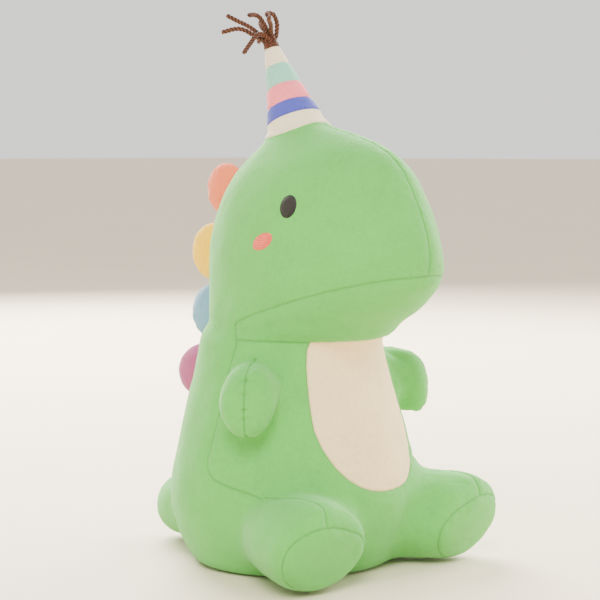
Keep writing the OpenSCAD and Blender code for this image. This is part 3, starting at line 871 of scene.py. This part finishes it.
PANELS = {
    # piece: material, the body it rides or the bend it would follow, CAD nodes it stands for; the neck
    # panels run from torso to head
    "side_panel_right": (
        "mint", "neck", ["torso_side_panel_right", "head_side_panel_right", "torso_stuffing"]),
    "side_panel_left": (
        "mint", "neck", ["torso_side_panel_left", "head_side_panel_left", "head_stuffing"]),
    "front_panel": ("mint", "neck", ["front_panel"]),
    "tummy_panel": ("cream", "neck", ["tummy_panel"]),
    "chin_panel": ("mint", "neck", ["chin_panel"]),
    "base_panel": ("mint", "torso", ["base_panel"]),
    "tail_cover_right": ("mint", "tail", ["tail_cover_right", "tail_stuffing"]),
    "tail_cover_left": ("mint", "tail", ["tail_cover_left"]),
}
for _s in ("right", "left"):
    PANELS[f"arm_front_{_s}"] = ("mint", f"arm_{_s}", [f"arm_front_{_s}", f"arm_stuffing_{_s}"])
    PANELS[f"arm_back_{_s}"] = ("mint", f"arm_{_s}", [f"arm_back_{_s}"])
    PANELS[f"leg_outer_{_s}"] = ("mint", f"leg_{_s}", [f"leg_outer_panel_{_s}", f"leg_stuffing_{_s}"])
    PANELS[f"leg_inner_{_s}"] = ("mint", f"leg_{_s}", [f"leg_inner_panel_{_s}"])
    PANELS[f"sole_{_s}"] = ("mint", f"leg_{_s}", [f"sole_{_s}"])
# Limb: its hinge, its bearing in degrees, and how far from the hinge its skin would start and stop bending
# (m)
BENDS = {
    "arm": ("arm_swing_", 67, 0.002, 0.018),
    "leg": ("leg_lift_", 43, 0.003, 0.024),
    "tail": ("tail_lift", 180, 0.003, 0.026),
}


def follow(obj, frame, joins):
    """Lets a panel ride the torso, or bakes its place into its mesh."""
    if joins == "neck":
        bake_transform(obj)
    elif joins == "torso":
        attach(obj, "torso")
    else:
        kind, _, s = joins.partition("_")
        hinge, bearing_deg, near, far = BENDS[kind]
        root = joint_root(frame, hinge + s) * MM
        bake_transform(obj)


def make_panels(frame, points, tris, label, seam, grown, mats):
    shared = normals(points, tris)
    for name, (color, joins, nodes) in PANELS.items():
        used, inverse = np.unique(tris[label == name], return_inverse=True)
        faces = inverse.reshape(-1, 3)
        obj = make_object(name + "_plush", points[used] * MM, faces, mats[color])
        # each point's share of the painted shade along the seams, stored for the material
        point_values(obj, "seam", seam[used])
        # a limb's skin runs on into the body's with no seam, so both share their normals there
        own = normals(points[used], faces)
        own[grown[used]] = shared[used][grown[used]]
        obj.data.normals_split_custom_set_from_vertices([tuple(v) for v in own])
        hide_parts(*nodes)
        follow(obj, frame, joins)


# ---- Embroidery ----
def embroider(name, tree, w, h, turn, mat, slot):
    """Raised oval of satin stitch laid on the head, where a ray along X through the CAD piece meets it."""
    lo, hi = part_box(name)
    centre = (Vector(lo) + Vector(hi)) / 2 / MM
    side = math.copysign(1, centre[0])
    hit, normal = tree.ray_cast(Vector((side * 200, centre[1], centre[2])), Vector((-side, 0, 0)))[:2]
    right = Vector((0, 0, 1)).cross(normal).normalized()
    up = normal.cross(right)
    c, s = math.cos(math.radians(turn) * side), math.sin(math.radians(turn) * side)
    rings, spokes, height, sunk = 10, 48, 1.15, 0.35
    verts = []
    for i in range(rings + 1):
        r = i / rings
        for j in range(spokes if i else 1):
            a = 2 * math.pi * j / spokes
            x, y = w / 2 * r * math.cos(a), h / 2 * r * math.sin(a)
            q = hit + right * (x * c - y * s) + up * (x * s + y * c)
            p = tree.ray_cast(q + normal * 15, -normal)[0]
            verts.append(tuple((p + normal * (height * (1 - r**5) - sunk)) * MM))
    obj = make_object(name + "_stitched", verts, disc_faces(rings, spokes), mat)
    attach(obj, "head")
    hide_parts(name)


# ---- Spikes ----
def spike_half(name, side, seat, data, mat):
    """One domed half of a back spike, gathered along its edge."""
    pitch, out, share, cad_gap, start = data
    length = cad_gap + SPIKE_L * out - start
    w, t = SPIKE_W / 2 * share, SPIKE_T / 2 * share
    rings, spokes = 16, 72
    verts = []
    p = math.radians(pitch)
    seed = 11.0 * list(SPIKES).index(name) + 3 * side
    for i in range(rings + 1):
        r = math.sin(i / rings * math.pi / 2) ** 0.9
        for j in range(spokes if i else 1):
            a = 2 * math.pi * j / spokes
            y = length / 2 * math.cos(a) * r
            z = w * math.copysign(abs(math.sin(a)) ** 0.9, math.sin(a)) * (1 - 0.08 * math.cos(a)) * r
            dome = max(0.0, 1 - r**2.2) ** 0.62
            ripple = noise.noise(Vector((math.cos(a) * 3.4, math.sin(a) * 3.4, seed))) * 1.1
            ripple *= math.exp(-(((r - 0.84) / 0.16) ** 2))
            lump = noise.noise(Vector((y / 9, z / 9, seed))) * 0.5 * dome
            x = side * max(0.12, t * dome + ripple * min(1, dome * 3) + lump)
            y = start + length / 2 + y
            verts.append(((seat[0] + x) * MM, (seat[1] + y * math.cos(p) - z * math.sin(p)) * MM,
                          (seat[2] + y * math.sin(p) + z * math.cos(p)) * MM))
    faces = disc_faces(rings, spokes)
    if side < 0:
        faces = [f[::-1] for f in faces]
    word = "left" if side > 0 else "right"
    obj = make_object(f"spike_{word}_{name}_plush", verts, faces, mat)
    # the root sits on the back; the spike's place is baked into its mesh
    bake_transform(obj)
    nodes = [f"spike_cover_{word}_{name}"] + ([f"spike_stuffing_{name}"] if side > 0 else [])
    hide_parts(*nodes)


# ---- Hat ----
HAT = Matrix.Translation(Vector(HAT_SEAT)) @ Matrix.Rotation(math.radians(-HAT_LEAN), 4, "X")


def hat_radius(t):
    return HAT_R + (HAT_TIP_R - HAT_R) * max(t, 0) ** 0.82


def band_point(c, d, s, t0, t1):
    """Point of a band at share s of its width: a little plump, drawn in at its edges, with soft creases."""
    t = t0 + (t1 - t0) * s
    z = t * HAT_L
    edge = min(s, 1 - s) * (t1 - t0) * HAT_L
    r = hat_radius(t) + 0.35 - 0.75 * math.exp(-((edge / 1.1) ** 2))
    r += noise.noise(Vector((c * 2.2, d * 2.2, z / 9))) * 0.5
    r += noise.noise(Vector((c * 7, d * 7, z / 3 + 5))) * 0.22 * math.exp(-((edge / 3) ** 2))
    return HAT @ Vector((r * c, r * d, z))


def strip_point(c, d, s, t1, skin):
    """Point of the base strip: from its foot, tucked into the skin round the hat, up to the first band."""
    top_r, top_z = hat_radius(t1) + 0.3, t1 * HAT_L
    down = HAT.to_3x3() @ Vector((0, 0, -1))
    hit = skin.ray_cast(HAT @ Vector((STRIP_R * c, STRIP_R * d, 25)), down, 60)[0]
    foot_z = (HAT.inverted() @ hit).z
    r = top_r + (STRIP_R - top_r) * (1 - s) ** 1.8
    q = HAT @ Vector((r * c, r * d, foot_z + (top_z - foot_z) * s))
    near, normal = skin.find_nearest(q)[:2]
    height = (q - near).dot(normal)
    if s == 0:
        q += normal * (-STRIP_TUCK - height)
    elif height < STRIP_GAP:
        q += normal * (STRIP_GAP - height)
    return q


def hat_piece(name, t0, t1, color, mats, skin=None):
    """A band of felt between two shares of the hat's length. With skin given it is the base strip."""
    rows, spokes = 14, 96
    verts = []
    for i in range(rows + 1):
        for j in range(spokes):
            a = 2 * math.pi * j / spokes
            c, d, s = math.cos(a), math.sin(a), i / rows
            q = strip_point(c, d, s, t1, skin) if skin else band_point(c, d, s, t0, t1)
            verts.append(tuple(q * MM))
    faces = tube_faces(rows, spokes)
    if t1 == 1:
        faces.append(ring(rows, spokes))
    obj = make_object(name + "_felt", verts, faces, mats[color])
    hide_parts(*([name, "hat_stuffing"] if skin else [name]))
    if skin:
        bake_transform(obj)
    else:
        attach(obj, "hat")


def make_hat(mats, skin):
    hat_piece("hat_base_strip", BANDS[0], BANDS[1], "hat_cream", mats, skin)
    for k, c in enumerate(("periwinkle", "pink", "mint"), 1):
        hat_piece("hat_band_" + c, BANDS[k], BANDS[k + 1], "hat_" + c, mats)
    hat_piece("hat_tip", BANDS[4], BANDS[5], "hat_cream", mats)


# ---- Yarn tuft ----
def tuft_to_world(p):
    return (HAT @ Vector((p[0], p[1], p[2] + HAT_L + BINDING_H))) * MM


def yarn_route(k):
    b = math.radians(STARTS[k])
    s = np.zeros(3) if STARTS[k] < 0 else RING_R * np.array([math.cos(b), math.sin(b), 0])
    return [s - [0, 0, BINDING_H], s, s + [0, 0, 2.5]] + [np.array(p, float) for p in ROUTES[k]]


def curve_points(pts, spacing):
    """Points along the spline at an even spacing, and its length."""
    p = spline(pts, np.linspace(0, len(pts) - 1, 400))
    length = np.concatenate([[0], np.cumsum(np.linalg.norm(np.diff(p, axis=0), axis=1))])
    at = np.linspace(0, length[-1], int(length[-1] / spacing) + 1)
    return np.stack([np.interp(at, length, p[:, k]) for k in range(3)], 1), length[-1]


def yarn_strand(k, mat):
    """Three plies twisted together, swept along the strand's route."""
    path, length = curve_points(yarn_route(k), 0.45)
    tangent = np.gradient(path, axis=0)
    tangent /= np.linalg.norm(tangent, axis=1)[:, None]
    side = np.cross(tangent[0], [0.3, 1, 0.1])
    rows, spokes = len(path) - 1, 24
    verts, crest_shading = [], []
    for i, (c, t) in enumerate(zip(path, tangent)):
        side = side - t * (side @ t)
        side /= np.linalg.norm(side)
        up = np.cross(t, side)
        s = i * length / rows
        end = min(1.0, (length - s) / 1.2)
        for j in range(spokes):
            a = 2 * math.pi * j / spokes
            ply = abs(math.cos(1.5 * (a - 2 * math.pi * s / YARN_PITCH)))
            fuzz = noise.noise(Vector((math.cos(a) * 1.5, math.sin(a) * 1.5, s * 1.3 + 20 * k))) * 0.13
            r = YARN_D / 2 * (0.7 + 0.34 * ply + fuzz) * (0.55 + 0.45 * math.sqrt(max(end, 0)))
            verts.append(tuple(tuft_to_world(c + r * (math.cos(a) * side + math.sin(a) * up))))
            # how far each point lies on a ply's crest, which the material turns into painted highlight and
            # painted shade
            crest_shading.append(ply)
    faces = tube_faces(rows, spokes) + [ring(0, spokes)[::-1], ring(rows, spokes)]
    obj = make_object(f"yarn_{k + 1}_twist", verts, faces, mat)
    point_values(obj, "crest_shading", crest_shading)
    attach(obj, "hat")
    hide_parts(f"yarn_strand_{k + 1}")
    route = [tuple(tuft_to_world(p)) for p in [*path[::3], path[-1]]]
    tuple(route[0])


def tuft_binding(mat):
    """Turns of yarn wound round the foot of the strands."""
    rows, spokes, pitch = 36, 64, 1.15
    verts, crest_shading = [], []
    for i in range(rows + 1):
        s = i / rows
        z = HAT_L - 0.4 + s * (BINDING_H + 0.6)
        for j in range(spokes):
            a = 2 * math.pi * j / spokes
            turn = abs(math.cos(math.pi * (s * BINDING_H / pitch + j / spokes)))
            r = 4.55 + 0.55 * turn - 0.9 * max(0, abs(s - 0.5) - 0.38) / 0.12
            verts.append(tuple((HAT @ Vector((r * math.cos(a), r * math.sin(a), z))) * MM))
            # how far each point lies on a turn's crest, which the material turns into painted highlight and
            # painted shade
            crest_shading.append(turn)
    faces = tube_faces(rows, spokes) + [ring(0, spokes)[::-1], ring(rows, spokes)]
    obj = make_object("tuft_binding_wound", verts, faces, mat)
    point_values(obj, "crest_shading", crest_shading)
    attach(obj, "hat")
    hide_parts("tuft_binding")


# ---- Stage ----
def area_light(name, place, target, size, power, color):
    data = bpy.data.lights.new(name, "AREA")
    data.shape, data.size, data.energy, data.color = "DISK", size, power, color
    obj = bpy.data.objects.new(name, data)
    obj.location = place
    obj.rotation_euler = (Vector(target) - Vector(place)).to_track_quat("-Z", "Y").to_euler()
    bpy.context.collection.objects.link(obj)


def make_stage():
    mat, nodes, links, p = shader("floor_paint")
    coords = object_coords(nodes)
    base = np.array(linear(COLORS["floor"]))
    blotch = noise_node(nodes, links, coords, 3.0)
    tone = ramp(nodes, links, blotch, [(0.3, tuple(base * 0.97)), (0.7, tuple(base))])
    links.new(tone, p.inputs["Base Color"])
    p.inputs["Roughness"].default_value = 0.7
    s = 40.0  # half the floor's size in metres
    corners = [(-s, -s, 0), (s, -s, 0), (s, s, 0), (-s, s, 0)]
    floor = make_object("floor", corners, [(0, 1, 2, 3)], mat, smooth=False)
    world = bpy.data.worlds.new("studio")
    world.use_nodes = True
    background = world.node_tree.nodes["Background"]
    background.inputs["Color"].default_value = (1.0, 0.985, 0.96, 1)
    background.inputs["Strength"].default_value = 1.3
    bpy.context.scene.world = world
    area_light("key", (-1.4, -1.0, 1.5), (0, 0, 0.15), 1.0, 52, (1.0, 0.97, 0.90))
    area_light("rim", (0.9, 1.5, 1.2), (0, 0, 0.2), 1.6, 170, (1.0, 0.98, 0.93))
    area_light("edge", (1.7, -0.05, 0.9), (0, 0, 0.22), 1.2, 60, (1.0, 0.98, 0.92))
    area_light("fill", (1.6, -1.2, 0.7), (0, 0, 0.15), 1.4, 10, (1.0, 0.92, 0.78))


def main():
    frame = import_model()
    make_camera()
    yarn = wool()
    for k in range(len(ROUTES)):
        yarn_strand(k, yarn)
    tuft_binding(yarn)
    mats = {c: velour(c + "_velour", c) for c in ("mint", "cream", *SPIKES)}
    for c in ("hat_cream", "hat_periwinkle", "hat_pink", "hat_mint"):
        mats[c] = velour(c + "_felt", c, sheen=0.3, pile=2200.0)
    points, tris, label = plush_skin(frame)
    points = swell(points, tris, label)
    for reach in REFINE:
        points, tris, label = refine(points, tris, label, reach)
    # seam holds each point's share of the painted shade along the seams
    points, seam, grown = sew(points, tris, label)
    make_panels(frame, points, tris, label, seam, grown, mats)
    tree = BVHTree.FromPolygons([tuple(p) for p in points], [tuple(int(i) for i in t) for t in tris])
    threads = {"eye": satin("eye_satin", "eye", 8), "cheek": satin("cheek_satin", "cheek", 60)}
    for side, _ in SIDES:
        for kind, size in STITCHED.items():
            embroider(f"{kind}_{side}", tree, *size, threads[kind], kind + "_thread")
    for name, data in SPIKES.items():
        seat = joint_root(frame, "spike_flop_" + name)
        for s in (1, -1):
            spike_half(name, s, seat, data, mats[name])
    make_hat(mats, tree)
    make_stage()


main()
